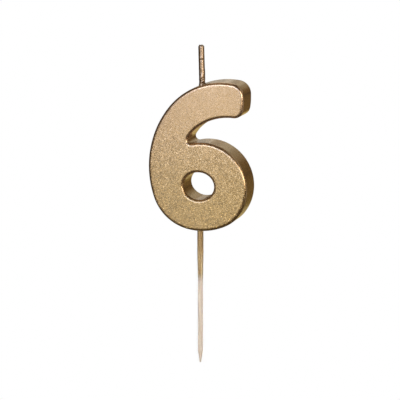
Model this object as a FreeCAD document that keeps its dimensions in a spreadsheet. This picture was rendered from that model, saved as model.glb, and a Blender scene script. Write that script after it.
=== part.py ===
"""Number birthday candle: a lacquered wax digit 6 with a cotton wick, on a wooden pick.

Frame, in millimetres: +Z up along the pick, +X to the right of the digit as it is read, and the
digit's front face towards -Y. The origin is on the pick's axis where the lacquer ends and the
bare wood begins, which is as deep as the pick goes into a cake.
"""
import FreeCAD, Part
import math
import os
import Sketcher

Vector = FreeCAD.Vector

# Each row is a cell of the sheet: alias, value and what it measures. Lengths in millimetres.
DIMENSIONS = (
    ("digit_thickness", 12.0, "front face to back face, over the lacquer"),
    ("digit_base_height", 20.45, "origin up to the lowest point of the digit"),
    ("film", 0.15, "thickness of the lacquer on the digit"),
    ("front_round", 1.2, "rounding of the digit's front edges"),
    ("back_round", 0.5, "rounding of the digit's back edges, at the mould's open side"),
    # The outline is a ring of tangent arcs, in order anticlockwise from the long stem. Heights are
    # up from the digit's lowest point.
    ("stem_radius", 38.6, "left side of the stem, which is the tall stroke"),
    ("bowl_left_radius", 18.9, "lower left of the bowl, which is the round part"),
    ("bowl_left_x", -0.12, "its centre"),
    ("bowl_left_z", 19.03, "its centre"),
    ("bowl_bottom_radius", 25.2, "underside of the bowl"),
    ("bowl_right_radius", 13.5, "right side of the bowl"),
    ("bowl_right_x", 6.29, "its centre"),
    ("bowl_right_z", 14.75, "its centre"),
    ("bowl_top_radius", 18.2, "upper right of the bowl, up to the notch"),
    ("notch_radius", 1.6, "tight inner corner between the bowl and the stem"),
    ("notch_x", -1.98, "its centre"),
    ("notch_z", 36.98, "its centre"),
    ("inner_radius", 14.5, "right side of the stem, above the notch"),
    ("under_radius", 21.9, "underside of the top stroke"),
    ("under_x", 13.53, "its centre"),
    ("under_z", 24.45, "its centre"),
    ("corner_low_radius", 3.7, "lower corner of the top stroke's end"),
    ("end_radius", 26.8, "end of the top stroke"),
    ("end_x", -7.39, "its centre"),
    ("end_z", 53.6, "its centre"),
    ("corner_top_radius", 5.3, "upper corner of the top stroke's end"),
    ("top_radius", 28.8, "upper side of the top stroke"),
    ("top_x", 10.83, "its centre"),
    ("top_z", 31.53, "its centre"),
    ("eye_x", 0.85, "centre of the eye, which is the hole through the bowl"),
    ("eye_z", 18.3, "centre of the eye"),
    ("eye_half_width", 6.35, "over the lacquer"),
    ("eye_half_height", 5.55, "over the lacquer"),
    ("pick_radius", 1.0, "bare wood"),
    ("pick_head_radius", 1.1, "upper end, inside the wax"),
    ("pick_depth", 35.4, "origin down to the tip"),
    ("pick_point_length", 4.8, "length of the tapered point"),
    ("pick_tip_radius", 0.28, "the point is blunt"),
    ("pick_embedded", 9.55, "how far the pick goes into the digit"),
    ("pick_head_chamfer", 0.3, "chamfer round the upper end"),
    ("pick_coat_radius", 1.25, "lacquered pick, just under the digit"),
    ("pick_coat_end", 0.03, "thickness of the lacquer where it ends"),
    ("pick_collar", 0.45, "lacquer gathered where the pick meets the digit"),
    ("wick_x", 0.75, "where the wick leaves the digit"),
    ("wick_foot_z", 58.5, "the same place, up from the lowest point of the digit"),
    ("wick_lean", 1.5, "lean of the wick towards the stem, in degrees"),
    ("wick_exposed", 15.7, "foot of the wick to its cut top"),
    ("wick_embedded", 12.0, "how far the wick goes into the wax"),
    ("yarn_radius", 0.43, "one yarn of the three that make the wick"),
    ("yarn_orbit", 0.56, "from the wick's axis to a yarn's axis"),
    ("yarn_pitch", 7.5, "length of one full turn of the twist"),
    ("yarn_stub", 0.35, "yarn ends standing out of the priming wax"),
    ("wick_wax_radius", 1.08, "the primed wick, under the lacquer"),
    ("wick_coat_radius", 1.2, "over the lacquer"),
    ("wick_bead_height", 10.8, "foot of the wick up to a bead of lacquer"),
    ("wick_bead_radius", 1.28, "over the bead"),
    ("wick_collar", 0.55, "lacquer gathered at the foot of the wick"),
)

OUTWARD = 1
INWARD = -1
PLACED = 0
LEFT = 1
RIGHT = -1
# Each arc of the outline: its name, which way it bulges, and where its centre is. The sheet gives
# the centre of a PLACED arc. An arc between two placed ones is held by tangency, and its centre
# lies LEFT or RIGHT of the line from the centre before to the centre after.
OUTLINE = (
    ("stem", OUTWARD, LEFT),
    ("bowl_left", OUTWARD, PLACED),
    ("bowl_bottom", OUTWARD, LEFT),
    ("bowl_right", OUTWARD, PLACED),
    ("bowl_top", OUTWARD, LEFT),
    ("notch", INWARD, PLACED),
    ("inner", INWARD, LEFT),
    ("under", INWARD, PLACED),
    ("corner_low", OUTWARD, RIGHT),
    ("end", OUTWARD, PLACED),
    ("corner_top", OUTWARD, LEFT),
    ("top", OUTWARD, PLACED),
)

START_POINT = 1
END_POINT = 2
CENTRE_POINT = 3
ORIGIN = -1
FULL_TURN = 360
ON_PLANE = 1e-4
YARNS = ("wick_yarn_a", "wick_yarn_b", "wick_yarn_c")
NODES = (
    "wax_body",
    "body_lacquer",
    *YARNS,
    "wick_wax",
    "wick_lacquer",
    "pick",
    "pick_lacquer",
)

doc = FreeCAD.newDocument("NumberCandle")
sheet = doc.addObject("Spreadsheet::Sheet", "Dimensions")


def fill_sheet():
    """Write every driving dimension into the sheet, with its alias and its meaning."""
    for row, (alias, value, meaning) in enumerate(DIMENSIONS, start=1):
        sheet.set(f"A{row}", alias)
        sheet.set(f"B{row}", str(value))
        sheet.setAlias(f"B{row}", alias)
        sheet.set(f"C{row}", meaning)
    doc.recompute()


def size(alias):
    """The sheet's value for this alias, in millimetres."""
    return float(getattr(sheet, alias))


def bind(thing, prop, formula):
    """Tie a property to a formula in which each sheet alias is written as its bare word."""
    words = {alias for alias, _, _ in DIMENSIONS}
    parts = formula.split(" ")
    named = [f"{sheet.Name}.{part}" if part in words else part for part in parts]
    thing.setExpression(prop, " ".join(named))


def origin_plane(body, role):
    """The body's own origin plane with this role."""
    for plane in body.Origin.OriginFeatures:
        if plane.Role == role:
            return plane
    raise ValueError(role)


def new_body(label):
    """A PartDesign body that carries this label."""
    body = doc.addObject("PartDesign::Body", label)
    body.Label = label
    return body


def front_sketch(body, name):
    """A sketch on the body's XZ plane: its x is the body's X and its y is the body's Z."""
    sketch = body.newObject("Sketcher::SketchObject", name)
    sketch.AttachmentSupport = [(origin_plane(body, "XZ_Plane"), "")]
    sketch.MapMode = "FlatFace"
    return sketch


def add_size(sketch, name, formula, kind, *place):
    """Add a dimension to a sketch, name it, and tie it to the sheet."""
    index = sketch.addConstraint(Sketcher.Constraint(kind, *place))
    sketch.renameConstraint(index, name)
    bind(sketch, f"Constraints.{name}", formula)


def gap_between(first, second):
    """Distance between the centres of two tangent arcs, each given as (centre, radius, bulge)."""
    if first[2] == second[2]:
        return abs(first[1] - second[1])
    return first[1] + second[1]


def centre_between(before, after, radius, bulge, side):
    """Centre of the arc that touches both neighbours, on the stated side of their line."""
    reach_before = gap_between(before, (None, radius, bulge))
    reach_after = gap_between(after, (None, radius, bulge))
    line = after[0] - before[0]
    along = (reach_before**2 - reach_after**2 + line.Length**2) / (2 * line.Length)
    across = math.sqrt(reach_before**2 - along**2)
    unit = line.normalize()
    normal = Vector(-unit.y, unit.x, 0)
    return before[0] + unit * along + normal * across * side


def outline_arcs(inset):
    """The outline's arcs as (centre, radius, bulge), all moved inwards by the inset."""
    arcs = []
    for name, bulge, side in OUTLINE:
        centre = None
        if side == PLACED:
            centre = Vector(size(f"{name}_x"), size(f"{name}_z"), 0)
        arcs.append((centre, size(f"{name}_radius") - bulge * inset, bulge))
    for index, (name, bulge, side) in enumerate(OUTLINE):
        if side != PLACED:
            before = arcs[index - 1]
            after = arcs[(index + 1) % len(arcs)]
            radius = arcs[index][1]
            centre = centre_between(before, after, radius, bulge, side)
            arcs[index] = (centre, radius, bulge)
    return arcs


def meeting_point(first, second):
    """Where two tangent arcs meet: on the line through their centres."""
    line = second[0] - first[0]
    if first[2] == second[2] and first[1] < second[1]:
        line = line * -1
    return first[0] + line.normalize() * first[1]


def angle_at(centre, point):
    """Direction from the centre to the point, in radians."""
    return math.atan2(point.y - centre.y, point.x - centre.x)


def draw_outline(sketch, inset_formula, inset):
    """Draw the closed ring of tangent arcs and fix it with radii, centres and tangency."""
    arcs = outline_arcs(inset)
    count = len(arcs)
    meetings = [meeting_point(arcs[i], arcs[(i + 1) % count]) for i in range(count)]
    for index, (centre, radius, bulge) in enumerate(arcs):
        ends = [angle_at(centre, meetings[index - 1]), angle_at(centre, meetings[index])]
        circle = Part.Circle(centre, Vector(0, 0, 1), radius)
        sketch.addGeometry(Part.ArcOfCircle(circle, *ends[::bulge]), False)
    for index in range(count):
        after = (index + 1) % count
        leaves = END_POINT if arcs[index][2] == OUTWARD else START_POINT
        enters = START_POINT if arcs[after][2] == OUTWARD else END_POINT
        sketch.addConstraint(Sketcher.Constraint("Tangent", index, leaves, after, enters))
    for index, (name, bulge, side) in enumerate(OUTLINE):
        centre, radius, _ = arcs[index]
        sign = "-" if bulge == OUTWARD else "+"
        formula = f"{name}_radius {sign} {inset_formula}"
        add_size(sketch, f"{name}_radius", formula, "Radius", index, radius)
        if side == PLACED:
            place = (ORIGIN, START_POINT, index, CENTRE_POINT)
            add_size(sketch, f"{name}_x", f"{name}_x", "DistanceX", *place, centre.x)
            add_size(sketch, f"{name}_z", f"{name}_z", "DistanceY", *place, centre.y)


def draw_eye(sketch, inset_formula, inset):
    """Draw the oval eye. Lacquer narrows it, so without the lacquer it is larger."""
    centre = Vector(size("eye_x"), size("eye_z"), 0)
    half_width = size("eye_half_width") + inset
    half_height = size("eye_half_height") + inset
    oval = sketch.addGeometry(
        Part.Ellipse(
            centre + Vector(half_width, 0, 0),
            centre + Vector(0, half_height, 0),
            centre,
        ),
        False,
    )
    sketch.exposeInternalGeometry(oval)
    long_axis = oval + 1
    short_axis = oval + 2
    sketch.addConstraint(Sketcher.Constraint("Horizontal", long_axis))
    place = (ORIGIN, START_POINT, oval, CENTRE_POINT)
    add_size(sketch, "eye_x", "eye_x", "DistanceX", *place, centre.x)
    add_size(sketch, "eye_z", "eye_z", "DistanceY", *place, centre.y)
    width_formula = f"2 * ( eye_half_width + {inset_formula} )"
    height_formula = f"2 * ( eye_half_height + {inset_formula} )"
    add_size(sketch, "eye_width", width_formula, "Distance", long_axis, 2 * half_width)
    add_size(sketch, "eye_height", height_formula, "Distance", short_axis, 2 * half_height)


def round_edges(body, name, base, y, radius_formula):
    """Round all the edges of the base feature that lie in the plane at this y."""
    on_plane = []
    for index, edge in enumerate(base.Shape.Edges, start=1):
        box = edge.BoundBox
        if abs(box.YMin - y) < ON_PLANE and abs(box.YMax - y) < ON_PLANE:
            on_plane.append(f"Edge{index}")
    fillet = body.newObject("PartDesign::Fillet", name)
    fillet.Base = (base, on_plane)
    bind(fillet, "Radius", radius_formula)
    doc.recompute()
    return fillet


def digit_form(label, inset_formula, inset):
    """The digit as a solid slab with a rounded front and back, smaller all round by the inset."""
    body = new_body(label)
    bind(body, "Placement.Base.z", "digit_base_height")
    sketch = front_sketch(body, f"{label}_outline")
    draw_outline(sketch, inset_formula, inset)
    draw_eye(sketch, inset_formula, inset)
    pad = body.newObject("PartDesign::Pad", f"{label}_slab")
    pad.Profile = sketch
    pad.SideType = "Symmetric"
    bind(pad, "Length", f"digit_thickness - 2 * {inset_formula}")
    doc.recompute()
    half = size("digit_thickness") / 2 - inset
    front = round_edges(body, f"{label}_front", pad, -half, f"front_round - {inset_formula}")
    round_edges(body, f"{label}_back", front, half, f"back_round - {inset_formula}")
    return body


def turned_body(label, corners):
    """A body turned about its Z axis from a half profile.

    Each corner is (x formula, z formula), where the formulas use the sheet's aliases.
    """
    body = new_body(label)
    sketch = front_sketch(body, f"{label}_profile")
    points = [Vector(evaluate(x), evaluate(z), 0) for x, z in corners]
    count = len(points)
    for index in range(count):
        line = Part.LineSegment(points[index], points[(index + 1) % count])
        sketch.addGeometry(line, False)
    for index in range(count):
        joined = (index, END_POINT, (index + 1) % count, START_POINT)
        sketch.addConstraint(Sketcher.Constraint("Coincident", *joined))
    for index, (x, z) in enumerate(corners):
        place = (ORIGIN, START_POINT, index, START_POINT)
        add_size(sketch, f"x{index}", x, "DistanceX", *place, points[index].x)
        add_size(sketch, f"z{index}", z, "DistanceY", *place, points[index].y)
    turned = body.newObject("PartDesign::Revolution", f"{label}_turned")
    turned.Profile = sketch
    turned.ReferenceAxis = (sketch, ["V_Axis"])
    turned.Angle = FULL_TURN
    doc.recompute()
    return body


def evaluate(formula):
    """The number that a formula of sheet aliases, + and - comes to."""
    total = 0.0
    sign = 1
    for word in formula.split(" "):
        if word == "+":
            sign = 1
        elif word == "-":
            sign = -1
        else:
            number = word.replace(".", "", 1).isdigit()
            total += sign * (float(word) if number else size(word))
    return total


def cut(label, base, tool):
    """The base with the tool's space removed, which must take something away."""
    result = doc.addObject("Part::Cut", label)
    result.Label = label
    result.Base = base
    result.Tool = tool
    doc.recompute()
    if result.Shape.Volume >= base.Shape.Volume:
        raise ValueError(f"{label}: nothing was cut")
    return result


def make_pick():
    """The wooden pick: blunt point, straight shaft, and a head that thickens into the wax."""
    head = "digit_base_height + pick_embedded"
    return turned_body(
        "pick",
        (
            ("0", "0 - pick_depth"),
            ("pick_tip_radius", "0 - pick_depth"),
            ("pick_radius", "0 - pick_depth + pick_point_length"),
            ("pick_radius", "0"),
            ("pick_head_radius", f"{head} - pick_head_chamfer"),
            ("pick_head_radius - pick_head_chamfer", head),
            ("0", head),
        ),
    )


def make_pick_coat():
    """Lacquer round the pick as a solid, which reaches up into the digit's foot."""
    base = "digit_base_height"
    return turned_body(
        "pick_coat_form",
        (
            ("0", "0"),
            ("pick_radius + pick_coat_end", "0"),
            ("pick_coat_radius", f"{base} - pick_collar"),
            ("pick_coat_radius + pick_collar", f"{base} + film"),
            ("0", f"{base} + film"),
        ),
    )


def stand_on_wick(thing, lift="0", turn=0):
    """Put a piece made about its own Z axis on the leaning axis of the wick.

    The lift is how far up that axis, from the wick's foot, and the turn is about it, in degrees.
    """
    lean = FreeCAD.Rotation(Vector(0, 1, 0), -size("wick_lean"))
    turned = lean * FreeCAD.Rotation(Vector(0, 0, 1), turn)
    thing.Placement = FreeCAD.Placement(Vector(0, 0, 0), turned)
    foot_z = "digit_base_height + wick_foot_z"
    bind(thing, "Placement.Base.x", f"wick_x - ( {lift} ) * sin( wick_lean )")
    bind(thing, "Placement.Base.z", f"{foot_z} + ( {lift} ) * cos( wick_lean )")


def make_wick_stock():
    """The waxed wick as one round cord, from its buried end to just under its cut top."""
    body = turned_body(
        "wick_stock",
        (
            ("0", "0 - wick_embedded"),
            ("wick_wax_radius", "0 - wick_embedded"),
            ("wick_wax_radius", "wick_exposed - yarn_stub"),
            ("0", "wick_exposed - yarn_stub"),
        ),
    )
    stand_on_wick(body)
    return body


def make_wick_coat():
    """Lacquer round the wick as a solid, with a collar at its foot and one bead higher up."""
    top = "wick_exposed - yarn_stub"
    body = turned_body(
        "wick_coat_form",
        (
            ("0", "0 - wick_coat_radius"),
            ("wick_coat_radius + wick_collar", "0 - wick_coat_radius"),
            ("wick_coat_radius", "wick_collar"),
            ("wick_coat_radius", "wick_bead_height - wick_collar"),
            ("wick_bead_radius", "wick_bead_height"),
            ("wick_coat_radius", "wick_bead_height + wick_collar"),
            ("wick_coat_radius", top),
            ("0", top),
        ),
    )
    stand_on_wick(body)
    return body


def make_yarn(label, turn):
    """One cotton yarn, swept along its helix round the wick's axis and turned by this angle."""
    path = doc.addObject("Part::Helix", f"{label}_path")
    path.SegmentLength = 0
    bind(path, "Pitch", "yarn_pitch")
    bind(path, "Radius", "yarn_orbit")
    bind(path, "Height", "wick_embedded + wick_exposed - yarn_radius")
    section = doc.addObject("Part::Circle", f"{label}_section")
    bind(section, "Radius", "yarn_radius")
    bind(section, "Placement.Base.x", "yarn_orbit")
    climb = math.atan2(size("yarn_pitch"), 2 * math.pi * size("yarn_orbit"))
    section.Placement.Rotation = FreeCAD.Rotation(Vector(1, 0, 0), math.degrees(climb) - 90)
    doc.recompute()
    sweep = doc.addObject("Part::Sweep", label)
    sweep.Label = label
    sweep.Sections = [section]
    sweep.Spine = (path, ["Edge1"])
    sweep.Solid = True
    sweep.Frenet = True
    stand_on_wick(sweep, "yarn_radius - wick_embedded", turn)
    doc.recompute()
    return sweep


def build():
    """Make every piece of the candle."""
    outer = digit_form("digit_form", "0", 0.0)
    wax = digit_form("wax_form", "film", size("film"))
    pick = make_pick()
    stock = make_wick_stock()
    between = FULL_TURN / len(YARNS)
    yarns = [make_yarn(label, index * between) for index, label in enumerate(YARNS)]
    cut("wax_body", cut("wax_with_socket", wax, pick), stock)
    shell = cut("digit_shell", outer, wax)
    cut("body_lacquer", cut("shell_over_pick", shell, pick), stock)
    cut("pick_lacquer", cut("pick_coat", make_pick_coat(), pick), outer)
    cut("wick_lacquer", cut("wick_coat", make_wick_coat(), stock), outer)
    primed = cut("primed_a", stock, yarns[0])
    primed = cut("primed_b", primed, yarns[1])
    cut("wick_wax", primed, yarns[2])


def check_and_write():
    """Stop on any failed object, then write each piece as parts/NODE.step."""
    doc.recompute()
    failed = [o.Label for o in doc.Objects if {"Invalid", "Error"} & set(o.State)]
    if failed:
        raise RuntimeError(f"failed objects: {failed}")
    os.makedirs("parts", exist_ok=True)
    for label in NODES:
        shape = doc.getObjectsByLabel(label)[0].Shape
        if shape.isNull() or not shape.isValid() or len(shape.Solids) != 1:
            raise RuntimeError(f"{label}: not one valid solid")
        shape.exportStep(os.path.join("parts", f"{label}.step"))
        print(f"{label}: {shape.Volume:.2f} mm3")


fill_sheet()
build()
check_and_write()
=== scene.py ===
"""Looks of the number birthday candle: a gilded wax digit, its gilded wick and its wooden pick.

Everything stands in the CAD frame, +Z up and the digit's face towards -Y. Shapes are worked out in
millimetres and stored in metres.
"""

import math

import bpy
import numpy as np
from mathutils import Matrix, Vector, noise
from mathutils.bvhtree import BVHTree
from mathutils.geometry import delaunay_2d_cdt


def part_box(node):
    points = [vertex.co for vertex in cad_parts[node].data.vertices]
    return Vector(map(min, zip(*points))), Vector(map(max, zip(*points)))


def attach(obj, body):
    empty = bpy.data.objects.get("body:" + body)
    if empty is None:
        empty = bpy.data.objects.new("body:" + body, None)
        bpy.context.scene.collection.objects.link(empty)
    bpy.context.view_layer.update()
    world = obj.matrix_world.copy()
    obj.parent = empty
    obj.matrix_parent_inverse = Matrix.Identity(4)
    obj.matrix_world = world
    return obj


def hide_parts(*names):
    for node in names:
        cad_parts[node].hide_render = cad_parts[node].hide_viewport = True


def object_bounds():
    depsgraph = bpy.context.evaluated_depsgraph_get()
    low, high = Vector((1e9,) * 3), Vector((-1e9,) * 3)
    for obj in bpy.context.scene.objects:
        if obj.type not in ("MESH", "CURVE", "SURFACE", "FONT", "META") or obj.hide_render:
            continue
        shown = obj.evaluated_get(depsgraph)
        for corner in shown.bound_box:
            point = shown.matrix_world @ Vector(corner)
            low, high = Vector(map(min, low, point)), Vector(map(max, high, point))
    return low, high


MM = 0.001
SEED = 6

# The digit, as in the CAD. Its skin stays a hair inside the CAD's surface.
FRONT_ROUND = 1.2
BACK_ROUND = 0.5
FILM = 0.15
SKIN_GAP = 0.006
MESH_STEP = 0.32
DENTS = 46

# The wick, above its foot. Angles are about its axis, from +X towards +Y.
WICK_CORE = 1.082
WICK_COAT = 1.19
WICK_COAT_LEAST = 0.02
WICK_SUNK = 1.4
WICK_TURN = 7.5
WICK_YARNS = 3
BEAD_HEIGHT = 10.75
DRIP_END = 2.35
DRIP_SLOPE = 0.9
FRONT = math.radians(-75)
FIBRES = 34

# The pick, up from the origin.
STICK_RADIUS = 1.0
STICK_HEAD_RADIUS = 1.098
STICK_POINT = 4.8
STICK_TIP = 0.28
COAT_AT_DIGIT = 1.24
COAT_AT_END = 1.03
COAT_GAP = 0.004
GOLD_FULL = 2.7
GOLD_GONE = -2.4

# The gold, which is smoother towards the top, where its colour is also paler and bluer: a painted sheen
# standing for the high lamps' reflection in the clear coat. Heights are from the origin.
GOLD_RED = 0.64
GOLD_GREEN = 0.42
GOLD_BLUE = 0.2
GOLD_BLUE_PAINTED_SHEEN = 0.26
PAINTED_SHEEN_FROM = 25.0
PAINTED_SHEEN_ABOVE = 75.0
SMOOTH_ABOVE = 72.0
GRAINY_BELOW = 50.0

# The camera, in degrees, millimetres and, for its distance, metres.
CAMERA_AZIMUTH = 17
CAMERA_ELEVATION = 11.4
CAMERA_DISTANCE = 0.8
CAMERA_LENS = 179.15
AIM_RIGHT = -0.17
AIM_ABOVE_MIDDLE = 2.35

ORIGIN = np.zeros(3)
UP = np.array([0.0, 0.0, 1.0])

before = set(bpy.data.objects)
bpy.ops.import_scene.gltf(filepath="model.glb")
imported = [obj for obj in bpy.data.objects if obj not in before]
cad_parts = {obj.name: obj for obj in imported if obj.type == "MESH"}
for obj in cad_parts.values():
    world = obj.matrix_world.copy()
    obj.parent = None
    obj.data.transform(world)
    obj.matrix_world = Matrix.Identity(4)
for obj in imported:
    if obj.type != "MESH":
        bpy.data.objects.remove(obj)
cad_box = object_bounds()


# --- small helpers -------------------------------------------------------------------------


def smooth(low, high, value):
    """0 below low, 1 above high, and a smooth rise in between. Low may be above high."""
    share = np.clip((value - low) / (high - low), 0, 1)
    return share * share * (3 - 2 * share)


def bump(value, centre, width):
    """A bell of height 1 about the centre."""
    return np.exp(-(((value - centre) / width) ** 2))


def ripple(points, wavelength, shift=0.0):
    """Smooth noise from about -1 to 1 at each point."""
    offset = Vector((shift, 1.7 * shift, -shift))
    return np.array([noise.noise(Vector(p) / wavelength + offset) for p in points])


def turn_difference(angle, centre):
    """How far the angle is from the centre, from -pi to pi."""
    return (angle - centre + np.pi) % (2 * np.pi) - np.pi


def normals_of(points, faces):
    """Unit vertex normals, each the mean of its faces' normals by area."""
    total = np.zeros_like(points)
    for count in (3, 4):
        group = np.array([f for f in faces if len(f) == count], int).reshape(-1, count)
        if len(group) == 0:
            continue
        corners = points[group]
        across = np.cross(corners[:, 2] - corners[:, 0], corners[:, -1] - corners[:, 1])
        if count == 3:
            across = np.cross(corners[:, 1] - corners[:, 0], corners[:, 2] - corners[:, 0])
        for column in range(count):
            np.add.at(total, group[:, column], across)
    return total / np.linalg.norm(total, axis=1, keepdims=True).clip(1e-12)


def add_piece(name, points, faces, material, slot, *stands_for):
    """Make a smooth-shaded piece from points in millimetres and put it on the candle's body."""
    mesh = bpy.data.meshes.new(name)
    mesh.from_pydata((np.asarray(points) * MM).tolist(), [], [list(map(int, f)) for f in faces])
    mesh.validate()
    mesh.shade_smooth()
    mesh.materials.append(material)
    piece = bpy.data.objects.new(name, mesh)
    bpy.context.scene.collection.objects.link(piece)
    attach(piece, "root")
    if stands_for:
        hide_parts(*stands_for)
    return piece


def node_points(node):
    """The CAD node's vertices, in millimetres."""
    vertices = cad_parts[node].data.vertices
    flat = np.zeros(len(vertices) * 3)
    vertices.foreach_get("co", flat)
    return flat.reshape(-1, 3) / MM


def axis_ends(node):
    """Centres of the lowest and the highest rim of a CAD node that is turned about its axis."""
    points = node_points(node)
    ends = []
    for level in (points[:, 2].min(), points[:, 2].max()):
        rim = points[abs(points[:, 2] - level) < 0.1]
        ends.append((rim.min(axis=0) + rim.max(axis=0)) / 2)
    return ends


# --- the digit -----------------------------------------------------------------------------


def seam_loops(node, depth):
    """Closed loops of the CAD node's edges in the plane y = depth, each an array of (x, z)."""
    points = node_points(node)
    in_plane = abs(points[:, 1] - depth) < 0.005
    links = {}
    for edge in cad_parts[node].data.edges:
        first, last = edge.vertices
        if in_plane[first] and in_plane[last]:
            ends = [tuple(np.round(points[i, [0, 2]], 3)) for i in (first, last)]
            if ends[0] != ends[1]:
                links.setdefault(ends[0], set()).add(ends[1])
                links.setdefault(ends[1], set()).add(ends[0])
    loops = []
    while links:
        loop = [min(links)]
        while True:
            onward = [p for p in links.pop(loop[-1], ()) if p in links]
            if not onward:
                break
            loop.append(min(onward))
        loops.append(np.array(loop))
    return loops


def signed_area(loop):
    """Area of the loop, positive when it runs anticlockwise."""
    x, z = loop[:, 0], loop[:, 1]
    return 0.5 * np.sum(x * np.roll(z, -1) - z * np.roll(x, -1))


def even_spline(loop, step):
    """Points every step along the smooth closed cubic spline through the loop's points."""
    count = len(loop)
    span = np.linalg.norm(np.roll(loop, -1, axis=0) - loop, axis=1)
    slope = (np.roll(loop, -1, axis=0) - loop) / span[:, None]
    system = np.zeros((count, count))
    for i in range(count):
        before = span[i - 1]
        system[i, i - 1] += before
        system[i, i] += 2 * (before + span[i])
        system[i, (i + 1) % count] += span[i]
    bend = np.linalg.solve(system, 6 * (slope - np.roll(slope, 1, axis=0)))
    start = np.concatenate([[0], np.cumsum(span)])
    places = np.linspace(0, start[-1], round(start[-1] / step), endpoint=False)
    piece = np.searchsorted(start, places, side="right") - 1
    after = (piece + 1) % count
    width = span[piece][:, None]
    right = (places - start[piece])[:, None]
    left = width - right
    curve = bend[piece] * left**3 / (6 * width) + bend[after] * right**3 / (6 * width)
    curve += (loop[piece] / width - bend[piece] * width / 6) * left
    curve += (loop[after] / width - bend[after] * width / 6) * right
    return curve


def material_side(loop):
    """Unit normals to the left of the loop, which is the side the wax is on."""
    along = np.roll(loop, -1, axis=0) - np.roll(loop, 1, axis=0)
    along /= np.linalg.norm(along, axis=1, keepdims=True)
    return np.stack([-along[:, 1], along[:, 0]], axis=1)


def wall_profile(front, back):
    """The wall from the face to the back, as (how far in from the outline, depth)."""
    profile = []
    for angle in np.linspace(0, math.pi / 2, 9):
        inset = FRONT_ROUND * (1 - math.sin(angle))
        profile.append((inset, front + FRONT_ROUND * (1 - math.cos(angle))))
    start = front + FRONT_ROUND
    stop = back - BACK_ROUND
    rows = round((stop - start) / MESH_STEP)
    profile += [(0.0, depth) for depth in np.linspace(start, stop, rows + 1)[1:-1]]
    for angle in np.linspace(0, math.pi / 2, 5):
        inset = BACK_ROUND * (1 - math.cos(angle))
        profile.append((inset, back - BACK_ROUND * (1 - math.sin(angle))))
    return profile


def inside(points, loop):
    """Which of the points the loop encloses."""
    within = np.zeros(len(points), bool)
    for (x1, z1), (x2, z2) in zip(loop, np.roll(loop, -1, axis=0)):
        if z1 != z2:
            crosses = (z1 > points[:, 1]) != (z2 > points[:, 1])
            at = x1 + (points[:, 1] - z1) * (x2 - x1) / (z2 - z1)
            within ^= crosses & (points[:, 0] < at)
    return within


def fill_points(outer, eye):
    """Evenly spread points between the outer loop and the eye's loop."""
    low, high = outer.min(axis=0), outer.max(axis=0)
    rows = np.arange(low[1], high[1], MESH_STEP * math.sqrt(3) / 2)
    grid = []
    for row, z in enumerate(rows):
        x = np.arange(low[0] + (row % 2) * MESH_STEP / 2, high[0], MESH_STEP)
        grid.append(np.stack([x, np.full_like(x, z)], axis=1))
    grid = np.concatenate(grid)
    grid = grid[inside(grid, outer) & ~inside(grid, eye)]
    rim = np.concatenate([outer, eye])
    gap = np.full(len(grid), np.inf)
    for point in rim:
        gap = np.minimum(gap, np.sum((grid - point) ** 2, axis=1))
    return grid[gap > (0.7 * MESH_STEP) ** 2]


def face_triangles(outer, eye):
    """Triangles that fill the digit's face, and the points inside it.

    Corners are numbered along the outer loop, then along the eye, then over the inner points.
    """
    inner = fill_points(outer, eye)
    everything = np.concatenate([outer, eye, inner])
    edges = []
    start = 0
    for loop in (outer, eye):
        edges += [(start + i, start + (i + 1) % len(loop)) for i in range(len(loop))]
        start += len(loop)
    result = delaunay_2d_cdt([Vector(p) for p in everything], edges, [], 1, 1e-7)
    number = [source[0] for source in result[3]]
    triangles = np.array([[number[i] for i in face] for face in result[2]])
    middle = everything[triangles].mean(axis=1)
    keep = inside(middle, outer) & ~inside(middle, eye)
    return triangles[keep], inner


def digit_surface():
    """Closed surface of the digit from its CAD outline: face, rounded edges, walls and back."""
    low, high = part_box("body_lacquer")
    front, back = low.y / MM, high.y / MM
    seams = seam_loops("body_lacquer", front + FRONT_ROUND)
    loops = sorted(seams, key=lambda loop: abs(signed_area(loop)))
    outer, eye = loops[-1], loops[0]
    outer = outer if signed_area(outer) > 0 else outer[::-1]
    eye = eye if signed_area(eye) < 0 else eye[::-1]
    loops = [even_spline(loop, MESH_STEP) for loop in (outer, eye)]
    sides = [material_side(loop) for loop in loops]
    profile = wall_profile(front, back)
    around = sum(len(loop) for loop in loops)
    points = []
    for inset, depth in profile:
        for loop, side in zip(loops, sides):
            ring = loop + side * inset
            points += [(x, depth, z) for x, z in ring]
    faces = []
    for row in range(len(profile) - 1):
        start = 0
        for loop in loops:
            for i in range(len(loop)):
                here = row * around + start + i
                beside = row * around + start + (i + 1) % len(loop)
                faces.append((here, here + around, beside + around, beside))
            start += len(loop)
    for row, depth, flip in ((0, front, 1), (len(profile) - 1, back, -1)):
        inset = profile[row][0]
        rings = [loop + side * inset for loop, side in zip(loops, sides)]
        triangles, inner = face_triangles(*rings)
        shift = np.where(triangles < around, row * around, len(points) - around)
        faces += [tuple(t[::flip]) for t in (triangles + shift).tolist()]
        points += [(x, depth, z) for x, z in inner]
    return np.array(points), faces, front, back


def facing_out(points, faces):
    """The faces, all turned over if the closed surface they make is inside out."""
    volume = 0.0
    for face in faces:
        for i in range(1, len(face) - 1):
            a, b, c = points[face[0]], points[face[i]], points[face[i + 1]]
            volume += np.dot(a, np.cross(b, c))
    return faces if volume > 0 else [face[::-1] for face in faces]


def dents(points, centres, radius, depth):
    """Depth of small round dents at each point."""
    total = np.zeros(len(points))
    for centre, r, d in zip(centres, radius, depth):
        gap = np.linalg.norm(points - centre, axis=1)
        total += d * np.clip(1 - (gap / r) ** 2, 0, None) ** 2
    return total


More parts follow.
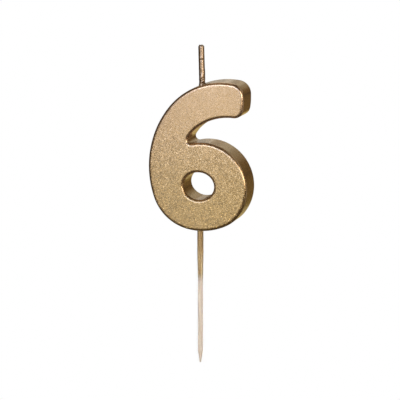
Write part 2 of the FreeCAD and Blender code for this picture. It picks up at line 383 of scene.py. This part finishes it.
def weathered(points, faces, front, back):
    """The digit's surface with the slight unevenness of cast wax under lacquer."""
    out = normals_of(points, faces)
    rng = np.random.default_rng(SEED)
    wall = 1 - np.abs(out[:, 1])
    rear = np.clip(out[:, 1], 0, 1)
    lift = 0.02 * ripple(points, 7.0) + 0.008 * ripple(points, 2.2, 5.0)
    lift += wall * (0.018 * ripple(points, 3.5, 9.0) + 0.008 * ripple(points, 1.1, 3.0))
    lift += rear * (0.07 * ripple(points, 6.0, 2.0) - 0.05)
    spots = rng.choice(np.flatnonzero((wall > 0.9) | (rear > 0.9)), DENTS, replace=False)
    radius = rng.uniform(0.3, 0.6, DENTS)
    depth = rng.uniform(0.03, 0.09, DENTS)
    lift -= dents(points, points[spots], radius, depth)
    edge = np.clip(1 - (back - points[:, 1]) / 0.8, 0, 1)
    lift += 0.03 * edge * wall * ripple(points, 2.4, 4.0)
    return points + out * np.minimum(lift, -SKIN_GAP)[:, None]


def make_digit(material):
    """The lacquer on the digit: its surface, and the same surface one film further in.

    Gives back a tree of the outer surface, which the wick finds its foot with.
    """
    points, faces, front, back = digit_surface()
    faces = facing_out(points, faces)
    outer = weathered(points, faces, front, back)
    inner = points - normals_of(points, faces) * FILM
    count = len(points)
    lining = [tuple(count + i for i in face[::-1]) for face in faces]
    shell = np.concatenate([outer, inner])
    add_piece("gilded_digit", shell, faces + lining, material, "gold_lacquer", "body_lacquer")
    return BVHTree.FromPolygons(outer.tolist(), faces)


# --- turned and drawn pieces ----------------------------------------------------------------


def tube(base, top, heights, angles, radius_at, bore_at=None):
    """Rings about the line from base to top, skinned, with end caps or with a bore.

    radius_at and bore_at take the angle and the height and give a radius.
    """
    along = (top - base) / np.linalg.norm(top - base)
    across = np.cross([0.0, 1.0, 0.0], along)
    across /= np.linalg.norm(across)
    beyond = np.cross(along, across)
    spin, rise = np.meshgrid(angles, heights)
    ray = np.cos(spin)[..., None] * across + np.sin(spin)[..., None] * beyond

    def surface(radius):
        return base + along * rise[..., None] + ray * radius[..., None]

    outer = surface(radius_at(spin, rise))
    rows, count = spin.shape
    points = outer.reshape(-1, 3)
    faces = []
    for row in range(rows - 1):
        for i in range(count):
            here = row * count + i
            beside = row * count + (i + 1) % count
            faces.append((here, beside, beside + count, here + count))
    if bore_at is None:
        faces.append(tuple(range(count))[::-1])
        faces.append(tuple(range((rows - 1) * count, rows * count)))
        return points, faces
    total = rows * count
    points = np.concatenate([points, surface(bore_at(spin, rise)).reshape(-1, 3)])
    faces += [tuple(total + i for i in face[::-1]) for face in faces]
    last = (rows - 1) * count
    for i in range(count):
        beside = (i + 1) % count
        faces.append((i, total + i, total + beside, beside))
        faces.append((last + beside, last + total + beside, last + total + i, last + i))
    return points, faces


def ring_angles(count):
    """Evenly spread angles for a ring of this many points."""
    return np.linspace(0, 2 * math.pi, count, endpoint=False)


def ring_noise(spin, rise, wavelength, stretch, shift):
    """Noise round a tube, drawn out along it by the stretch."""
    x, y = np.cos(spin), np.sin(spin)
    places = np.stack([x, y, rise / stretch], axis=-1).reshape(-1, 3)
    return ripple(places, wavelength, shift).reshape(spin.shape)


def stick_radius(spin, rise):
    """Radius of the bare stick, which is split and sanded rather than turned."""
    low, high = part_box("pick")
    point = np.clip((rise - low.z / MM) / STICK_POINT, 0, 1)
    head = np.clip(rise / (high.z / MM), 0, 1)
    radius = STICK_TIP + (STICK_RADIUS - STICK_TIP) * point ** 0.92
    radius += (STICK_HEAD_RADIUS - STICK_RADIUS) * head
    grain = 0.012 * ring_noise(spin, rise, 0.35, 9.0, 1.0)
    flats = 0.012 * ring_noise(spin, rise, 0.9, 14.0, 6.0)
    cuts = 0.02 * ring_noise(spin, rise, 0.8, 2.0, 4.0) * (1 - point)
    return radius * (1 + np.minimum(grain + flats + cuts, 0) - 0.002)


def make_stick(material):
    """The wooden pick with its grain, its blunt cut point and its buried head."""
    low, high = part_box("pick")
    tip = low.z / MM
    cone = np.linspace(tip, tip + STICK_POINT, 30)
    shaft = np.linspace(tip + STICK_POINT, high.z / MM, 240)
    heights = np.concatenate([cone, shaft[1:]])
    points, faces = tube(ORIGIN, UP, heights, ring_angles(56), stick_radius)
    add_piece("wooden_pick", points, faces, material, "pick_wood", "pick")


def make_pick_coat(material):
    """The lacquer on the pick, which thins out towards a ragged lower end."""
    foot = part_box("pick_lacquer")[1].z / MM

    def radius(spin, rise):
        share = np.clip(rise / foot, 0, 1)
        coat = COAT_AT_END + (COAT_AT_DIGIT - COAT_AT_END) * smooth(0, 0.55, share)
        collar = 0.4 * smooth(foot - 0.75, foot, rise) ** 2
        lumps = 0.022 * ring_noise(spin, rise, 0.9, 1.6, 2.0)
        lumps += 0.014 * ring_noise(spin, rise, 0.45, 1.0, 8.0)
        return coat + collar + lumps * smooth(0, 4.0, rise)

    def bore(spin, rise):
        return STICK_RADIUS + COAT_GAP + 0.1 * np.clip(rise / 30, 0, 1)

    heights = np.linspace(0, foot, 130)
    points, faces = tube(ORIGIN, UP, heights, ring_angles(64), radius, bore)
    add_piece("gilded_pick", points, faces, material, "gold_lacquer", "pick_lacquer")


def wick_relief(spin, rise):
    """How the lacquer on the wick stands out or sinks in over the yarns."""
    phase = WICK_YARNS * (spin - 2 * math.pi * rise / WICK_TURN)
    twist = 0.014 * np.cos(phase) * (0.35 + smooth(6.0, 1.5, rise))
    across = turn_difference(spin, FRONT)
    bead = 0.08 * bump(rise, BEAD_HEIGHT, 0.5) * bump(across, -0.2, 0.8)
    waist = -0.03 * bump(rise, BEAD_HEIGHT - 0.8, 0.35) * bump(across, 0.1, 1.0)
    side_run = 0.1 * bump(rise, 4.2, 2.6) * bump(turn_difference(spin, 0.2), 0, 0.9)
    return twist + bead + waist + side_run


def wick_foot(spin, rise):
    """The thick drip, the ridge over one yarn under it, and the creases between them."""
    across = turn_difference(spin, FRONT)
    level = rise - DRIP_SLOPE * np.sin(across).clip(-1, 1)
    near = bump(across, 0, 1.25)
    left = bump(across, -0.25, 0.75)
    drip = 0.22 * smooth(DRIP_END, DRIP_END + 0.35, level) * smooth(5.2, 3.0, level) * left
    crease = -0.22 * bump(level, DRIP_END - 0.1, 0.22) * near
    pit = -0.24 * bump(across, 0.85, 0.3) * bump(rise, DRIP_END + 0.6, 0.32)
    ridge = 0.18 * bump(level, DRIP_END - 1.1, 0.5) * near
    under = -0.05 * bump(level, DRIP_END - 2.1, 0.3) * near
    return drip + crease + ridge + under + pit


def make_wick_coat(material, digit):
    """The lacquer on the wick, with its bead, its drip and a meniscus on the digit."""
    foot, top = wick_line(digit)
    length = np.linalg.norm(top - foot)

    def radius(spin, rise):
        relief = wick_relief(spin, rise) + wick_foot(spin, rise)
        lumps = 0.012 * ring_noise(spin, rise, 0.8, 1.3, 3.0)
        spread = 0.2 + 0.95 * bump(turn_difference(spin, 0.1), 0, 0.9)
        slope = 0.12 * np.cos(spin)
        meniscus = spread * smooth(1.0, -0.3, rise - slope) ** 1.8
        mouth = -0.05 * smooth(length - 0.5, length, rise)
        coat = np.maximum(WICK_COAT + relief + lumps, WICK_CORE + WICK_COAT_LEAST)
        return coat + meniscus + mouth

    def bore(spin, rise):
        return np.full(spin.shape, WICK_CORE)

    near_foot = np.linspace(-WICK_SUNK, 4.0, 90)
    heights = np.concatenate([near_foot, np.linspace(4.0, length, 150)[1:]])
    points, faces = tube(foot, top, heights, ring_angles(72), radius, bore)
    add_piece("gilded_wick", points, faces, material, "gold_lacquer", "wick_lacquer")


def wick_line(digit):
    """The foot of the wick on the digit's surface, and the centre of its cut top."""
    buried, top = axis_ends("wick_wax")
    along = (top - buried) / np.linalg.norm(top - buried)
    down = digit.ray_cast(Vector(top + along), Vector(-along))
    return np.array(down[0]), top


def strand(points, radius, sides=6):
    """A thin closed tube through the points, for one loose fibre."""
    points = np.array(points)
    along = np.gradient(points, axis=0)
    along /= np.linalg.norm(along, axis=1, keepdims=True)
    side = np.cross(along, [0.3, 0.9, 0.1])
    side /= np.linalg.norm(side, axis=1, keepdims=True)
    other = np.cross(along, side)
    rings = []
    for row, point in enumerate(points):
        thick = radius * (1 - 0.6 * row / (len(points) - 1))
        for angle in ring_angles(sides):
            ray = math.cos(angle) * side[row] + math.sin(angle) * other[row]
            rings.append(point + thick * ray)
    faces = []
    for row in range(len(points) - 1):
        for i in range(sides):
            here = row * sides + i
            beside = row * sides + (i + 1) % sides
            faces.append((here, beside, beside + sides, here + sides))
    faces.append(tuple(range(sides))[::-1])
    faces.append(tuple(range(len(rings) - sides, len(rings))))
    return rings, faces


def make_fray(material, digit):
    """Loose cotton fibres at the cut top of the wick."""
    _, top = wick_line(digit)
    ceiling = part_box("wick_yarn_b")[1].z / MM
    rng = np.random.default_rng(SEED + 1)
    points, faces = [], []
    for _ in range(FIBRES):
        angle = rng.uniform(0, 2 * math.pi)
        out = rng.uniform(0.15, 0.85)
        lean = rng.normal(0, 0.35, 2)
        tall = rng.uniform(0.25, 0.5)
        path = []
        for step in np.linspace(0, 1, 6):
            x = top[0] + out * math.cos(angle) + lean[0] * tall * step**2
            y = top[1] + out * math.sin(angle) + lean[1] * tall * step**2
            path.append((x, y, min(top[2] - 0.15 + tall * step, ceiling)))
        ring, skin = strand(path, rng.uniform(0.03, 0.05))
        faces += [tuple(len(points) + i for i in face) for face in skin]
        points += ring
    add_piece("wick_fray", points, faces, material, "cotton")


# --- materials ------------------------------------------------------------------------------


def add_node(tree, kind, inputs=None, **settings):
    """A shader node with these settings; an input that is another node's output is linked."""
    made = tree.nodes.new(kind)
    for key, value in settings.items():
        setattr(made, key, value)
    for key, value in (inputs or {}).items():
        if isinstance(value, bpy.types.NodeSocket):
            tree.links.new(value, made.inputs[key])
        else:
            made.inputs[key].default_value = value
    return made


def new_material(name):
    """An empty material, its node tree, and positions in millimetres."""
    material = bpy.data.materials.new(name)
    material.use_nodes = True
    tree = material.node_tree
    tree.nodes.clear()
    place = add_node(tree, "ShaderNodeTexCoord").outputs["Object"]
    scaled = add_node(tree, "ShaderNodeVectorMath", {0: place, "Scale": 1 / MM}, operation="SCALE")
    return material, tree, scaled.outputs[0]


def finish_material(tree, shader):
    """Send the shader to the material's output."""
    add_node(tree, "ShaderNodeOutputMaterial", {"Surface": shader})


def noise_at(tree, place, scale, detail=2.0, roughness=0.5):
    """Noise from 0 to 1, with this many features to the millimetre."""
    inputs = {"Vector": place, "Scale": scale, "Detail": detail, "Roughness": roughness}
    return add_node(tree, "ShaderNodeTexNoise", inputs).outputs["Fac"]


def math_node(tree, operation, *values):
    """The output of one sum, with numbers or outputs of other nodes as its terms."""
    return add_node(tree, "ShaderNodeMath", dict(enumerate(values)), operation=operation).outputs[0]


def vector_node(tree, operation, inputs):
    """The output of one sum of vectors."""
    return add_node(tree, "ShaderNodeVectorMath", inputs, operation=operation).outputs[0]


def height_of(tree, place):
    """The height in a position."""
    return add_node(tree, "ShaderNodeSeparateXYZ", {0: place}).outputs["Z"]


def bump_node(tree, height, strength, distance):
    """A normal that follows this height. The distance is in millimetres."""
    inputs = {"Height": height, "Strength": strength, "Distance": distance * MM}
    return add_node(tree, "ShaderNodeBump", inputs).outputs[0]


def remap(tree, value, low, high, to_low, to_high):
    """The value moved from one range to another, kept inside the second."""
    inputs = {"Value": value, "From Min": low, "From Max": high, "To Min": to_low, "To Max": to_high}
    return add_node(tree, "ShaderNodeMapRange", inputs, interpolation_type="SMOOTHSTEP").outputs["Result"]


def mix_colour(tree, share, first, second):
    """A blend of two colours."""
    inputs = {0: share, 6: first, 7: second}
    return add_node(tree, "ShaderNodeMix", inputs, data_type="RGBA").outputs[2]


def gold_shader(tree, place, tint, roughness, metal=0.9):
    """Satin gold lacquer: metal flake in a thin clear film, grainier towards the foot."""
    height = height_of(tree, place)
    grain = remap(tree, height, SMOOTH_ABOVE, GRAINY_BELOW, 0.24, 0.75)
    coarse = math_node(tree, "SUBTRACT", noise_at(tree, place, 1.9, 1.0, 0.5), 0.5)
    fine = math_node(tree, "SUBTRACT", noise_at(tree, place, 3.4, 2.0, 0.6), 0.5)
    speckle = math_node(tree, "MULTIPLY_ADD", fine, 2.0, coarse)
    mottle = math_node(tree, "MULTIPLY", speckle, grain)
    broad = noise_at(tree, place, 0.22, 2.0, 0.5)
    shade = math_node(tree, "ADD", mottle, math_node(tree, "MULTIPLY_ADD", broad, 0.12, 0.94))
    # A tint below 1 darkens the whole colour; on the wick it is painted shade that dims its lamp
    # highlights.
    shade = math_node(tree, "MULTIPLY", shade, tint)
    # Paler, bluer gold towards the top is painted sheen, standing for the high front lamps' reflection in
    # the clear coat.
    blue = remap(tree, height, PAINTED_SHEEN_FROM, PAINTED_SHEEN_ABOVE, GOLD_BLUE, GOLD_BLUE_PAINTED_SHEEN)
    inputs = {"X": GOLD_RED, "Y": GOLD_GREEN, "Z": blue}
    flat = add_node(tree, "ShaderNodeCombineXYZ", inputs).outputs[0]
    base = vector_node(tree, "SCALE", {0: flat, "Scale": shade})
    flake = add_node(tree, "ShaderNodeTexVoronoi", {"Vector": place, "Scale": 2.6}).outputs["Color"]
    tilt = vector_node(tree, "SUBTRACT", {0: flake, 1: (0.5, 0.5, 0.5)})
    swing = math_node(tree, "MULTIPLY", grain, 0.22)
    lean = vector_node(tree, "SCALE", {0: tilt, "Scale": swing})
    leaned = vector_node(tree, "ADD", {0: bump_node(tree, mottle, 0.6, 0.05), 1: lean})
    normal = vector_node(tree, "NORMALIZE", {0: leaned})
    inputs = {
        "Base Color": base,
        "Metallic": metal,
        "Roughness": remap(tree, fine, -0.2, 0.2, roughness - 0.04, roughness + 0.04),
        "Normal": normal,
        "Coat Weight": 0.8,
        "Coat Roughness": 0.16,
        "Coat IOR": 1.75,
    }
    return add_node(tree, "ShaderNodeBsdfPrincipled", inputs).outputs[0]


def wood_shader(tree, place):
    """Pale birch with long darker fibres."""
    stretched = vector_node(tree, "MULTIPLY", {0: place, 1: (1.0, 1.0, 0.05)})
    fibre = noise_at(tree, stretched, 3.2, 4.0, 0.6)
    streak = noise_at(tree, stretched, 0.9, 2.0, 0.5)
    darker = remap(tree, fibre, 0.3, 0.75, 0.0, 1.0)
    colour = mix_colour(tree, darker, (0.93, 0.83, 0.78, 1), (0.85, 0.69, 0.59, 1))
    streaked = remap(tree, streak, 0.45, 0.7, 0.0, 0.5)
    inputs = {
        "Base Color": mix_colour(tree, streaked, colour, (0.76, 0.56, 0.45, 1)),
        "Roughness": remap(tree, fibre, 0.2, 0.8, 0.5, 0.7),
        "Normal": bump_node(tree, fibre, 0.4, 0.05),
        "Specular IOR Level": 0.35,
    }
    return add_node(tree, "ShaderNodeBsdfPrincipled", inputs).outputs[0]


def gold_share(tree, place):
    """How much gold lies on the pick at each height, speckled where it fades out."""
    speckle = math_node(tree, "SUBTRACT", noise_at(tree, place, 2.2, 3.0, 0.6), 0.5)
    uneven = math_node(tree, "MULTIPLY_ADD", speckle, 4.0, height_of(tree, place))
    return remap(tree, uneven, GOLD_GONE, GOLD_FULL, 0.0, 1.0)


def gold_material(name, tint, roughness):
    """Lacquer on the digit, or on the wick, where it is rougher and where a tint below 1 paints shade
    over it to dim its highlights.
    """
    material, tree, place = new_material(name)
    finish_material(tree, gold_shader(tree, place, tint, roughness))
    return material


def pick_material(name):
    """Bare wood below and lacquer above, with the sprayed edge of the lacquer between them."""
    material, tree, place = new_material(name)
    gold = gold_shader(tree, place, 0.82, 0.5, 0.8)
    inputs = {0: gold_share(tree, place), 1: wood_shader(tree, place), 2: gold}
    finish_material(tree, add_node(tree, "ShaderNodeMixShader", inputs).outputs[0])
    return material


def wax_material():
    """Off-white paraffin with soft clouds in it."""
    material, tree, place = new_material("paraffin")
    cloud = noise_at(tree, place, 0.4, 3.0, 0.5)
    colour = mix_colour(tree, cloud, (0.86, 0.82, 0.72, 1), (0.78, 0.72, 0.6, 1))
    grain = bump_node(tree, noise_at(tree, place, 3.0), 0.3, 0.1)
    inputs = {
        "Base Color": colour,
        "Roughness": remap(tree, cloud, 0.3, 0.7, 0.38, 0.5),
        "Subsurface Weight": 0.6,
        "Subsurface Radius": (0.004, 0.003, 0.002),
        "Subsurface Scale": 1.0,
        "Normal": grain,
    }
    finish_material(tree, add_node(tree, "ShaderNodeBsdfPrincipled", inputs).outputs[0])
    return material


def cotton_material():
    """Cotton stained by wax and lacquer at its cut end."""
    material, tree, place = new_material("waxed_cotton")
    fibre = noise_at(tree, place, 9.0, 3.0, 0.7)
    stain = noise_at(tree, place, 1.6, 2.0, 0.5)
    colour = mix_colour(tree, fibre, (0.30, 0.22, 0.16, 1), (0.55, 0.43, 0.32, 1))
    colour = mix_colour(tree, remap(tree, stain, 0.4, 0.65, 0.0, 1.0), colour, (0.16, 0.11, 0.085, 1))
    inputs = {
        "Base Color": colour,
        "Roughness": 0.85,
        "Normal": bump_node(tree, fibre, 0.8, 0.1),
        "Sheen Weight": 0.3,
    }
    finish_material(tree, add_node(tree, "ShaderNodeBsdfPrincipled", inputs).outputs[0])
    return material


def repaint(node, material):
    """Give a CAD node that stays as it is this material."""
    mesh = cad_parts[node].data
    mesh.materials.clear()
    mesh.materials.append(material)


# --- studio ---------------------------------------------------------------------------------


def make_floor():
    """A plain white floor under the pick's tip. Only the camera sees it."""
    size = 4.0
    level = cad_box[0].z
    mesh = bpy.data.meshes.new("floor")
    corners = [
        (-size, -size, level),
        (size, -size, level),
        (size, size, level),
        (-size, size, level),
    ]
    mesh.from_pydata(corners, [], [(0, 1, 2, 3)])
    floor = bpy.data.objects.new("floor", mesh)
    bpy.context.scene.collection.objects.link(floor)
    material, tree, _ = new_material("floor_paper")
    finish_material(tree, add_node(tree, "ShaderNodeEmission", {"Color": (1, 1, 1, 1)}).outputs[0])
    mesh.materials.append(material)
    floor.visible_diffuse = False
    floor.visible_glossy = False
    floor.visible_shadow = False


def make_world():
    """White behind the candle for the camera, and a dim warm room for everything else."""
    world = bpy.data.worlds.new("studio")
    bpy.context.scene.world = world
    world.use_nodes = True
    tree = world.node_tree
    tree.nodes.clear()
    seen = add_node(tree, "ShaderNodeLightPath").outputs["Is Camera Ray"]
    dim = {"Color": (1.0, 0.72, 0.36, 1), "Strength": 0.05}
    room = add_node(tree, "ShaderNodeBackground", dim).outputs[0]
    bright = {"Color": (1, 1, 1, 1), "Strength": 1.0}
    white = add_node(tree, "ShaderNodeBackground", bright).outputs[0]
    mixed = add_node(tree, "ShaderNodeMixShader", {0: seen, 1: room, 2: white}).outputs[0]
    add_node(tree, "ShaderNodeOutputWorld", {"Surface": mixed})


def direction(azimuth, elevation):
    """The way to a place in the studio, in degrees. Azimuth 0 is in front and 90 is right."""
    a = math.radians(azimuth)
    e = math.radians(elevation)
    return Vector((math.sin(a) * math.cos(e), -math.cos(a) * math.cos(e), math.sin(e)))


def softbox(aim, spread, name, azimuth, elevation, distance, width, height, power, colour):
    """A rectangular lamp aimed at this point, with its light spread over this many degrees."""
    away = direction(azimuth, elevation)
    light = bpy.data.lights.new(name, "AREA")
    light.shape = "RECTANGLE"
    light.size = width
    light.size_y = height
    light.energy = power
    light.color = colour
    light.spread = math.radians(spread)
    lamp = bpy.data.objects.new(name, light)
    lamp.location = aim + away * distance
    lamp.rotation_mode = "QUATERNION"
    lamp.rotation_quaternion = (-away).to_track_quat("-Z", "Y")
    lamp.visible_camera = False
    bpy.context.scene.collection.objects.link(lamp)


# Name, azimuth and elevation in degrees, distance, width and height in metres, power in watts and
# colour.
DIGIT_LAMPS = (
    ("key_high", -17, 12, 0.4, 0.14, 0.14, 0.195, (0.67, 0.79, 1.0)),
    ("fill_high", 0, 12, 0.4, 0.14, 0.14, 0.21, (0.6, 0.75, 1.0)),
    ("key_low", -11, -11, 0.4, 0.14, 0.14, 0.063, (1.0, 0.95, 0.62)),
    ("key_left", -24, -12, 0.4, 0.12, 0.14, 0.024, (1.0, 0.96, 0.86)),
    ("key_top", -20, 21, 0.4, 0.2, 0.14, 0.18, (1.0, 0.98, 0.94)),
    ("right_front", 42, 7, 0.4, 0.24, 0.14, 0.58, (1.0, 0.93, 0.78)),
    ("right_side", 85, 12, 0.4, 0.16, 0.2, 0.1, (1.0, 0.85, 0.6)),
    ("overhead", -60, 66, 0.4, 0.3, 0.2, 0.06, (1.0, 0.7, 0.4)),
    ("backdrop_left", -157, 9, 0.4, 0.14, 0.1, 0.022, (1.0, 0.94, 0.8)),
    ("backdrop", -175, 19, 0.4, 0.14, 0.12, 0.016, (1.0, 0.93, 0.72)),
    ("backdrop_warm", 174, 19, 0.4, 0.14, 0.14, 0.016, (1.0, 0.9, 0.6)),
    ("backdrop_high", -160, 46, 0.4, 0.24, 0.24, 0.19, (1.0, 0.93, 0.78)),
    ("rear_low", 180, -12, 0.4, 0.14, 0.14, 0.014, (1.0, 0.62, 0.08)),
    ("rear_left_low", -172, -23, 0.4, 0.16, 0.16, 0.032, (1.0, 0.8, 0.36)),
    ("rear_right_low", 156, -12, 0.4, 0.14, 0.14, 0.006, (1.0, 0.58, 0.12)),
    ("rear_fill", 122, -18, 0.4, 0.2, 0.2, 0.05, (1.0, 0.95, 0.82)),
    ("rear_fill_high", 125, 40, 0.4, 0.3, 0.3, 0.12, (1.0, 0.95, 0.82)),
    ("rear_right", 160, 12, 0.4, 0.14, 0.14, 0.006, (1.0, 0.56, 0.1)),
)
PICK_LIT_AT = -14
PICK_LAMP_SPREAD = 16
PICK_LAMPS = (
    ("pick_left", -55, -14, 0.35, 0.08, 0.02, 0.0037, (1.0, 0.98, 0.74)),
    ("pick_right", 70, -14, 0.35, 0.08, 0.02, 0.0037, (1.0, 0.98, 0.74)),
)


def make_camera():
    """A long lens level with the digit, from the right and slightly above."""
    middle = (cad_box[0] + cad_box[1]) / 2
    aim = Vector((AIM_RIGHT * MM, 0.0, middle.z + AIM_ABOVE_MIDDLE * MM))
    back = direction(CAMERA_AZIMUTH, CAMERA_ELEVATION)
    data = bpy.data.cameras.new("camera")
    data.lens = CAMERA_LENS
    camera = bpy.data.objects.new("camera", data)
    camera.location = aim + back * CAMERA_DISTANCE
    camera.rotation_mode = "QUATERNION"
    camera.rotation_quaternion = (-back).to_track_quat("-Z", "Y")
    bpy.context.scene.collection.objects.link(camera)
    bpy.context.scene.camera = camera


# --- the candle -----------------------------------------------------------------------------

digit_surface_tree = make_digit(gold_material("satin_gold", 1.0, 0.3))
make_stick(pick_material("pick_wood_dusted"))
make_pick_coat(pick_material("pick_lacquer_fading"))
# The wick's gold is darkened by a tint of 0.7: painted shade that dims its lamp highlights.
make_wick_coat(gold_material("satin_gold_shaded_on_wick", 0.7, 0.38), digit_surface_tree)
cotton = cotton_material()
make_fray(cotton, digit_surface_tree)
wax = wax_material()
for cad_node in ("wax_body", "wick_wax"):
    repaint(cad_node, wax)
for cad_node in ("wick_yarn_a", "wick_yarn_b", "wick_yarn_c"):
    repaint(cad_node, cotton)

digit_low, digit_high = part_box("body_lacquer")
make_floor()
make_world()
for lamp_setting in DIGIT_LAMPS:
    softbox((digit_low + digit_high) / 2, 180, *lamp_setting)
for lamp_setting in PICK_LAMPS:
    softbox(Vector((0, 0, PICK_LIT_AT * MM)), PICK_LAMP_SPREAD, *lamp_setting)
make_camera()
bpy.context.scene.view_settings.view_transform = "Standard"
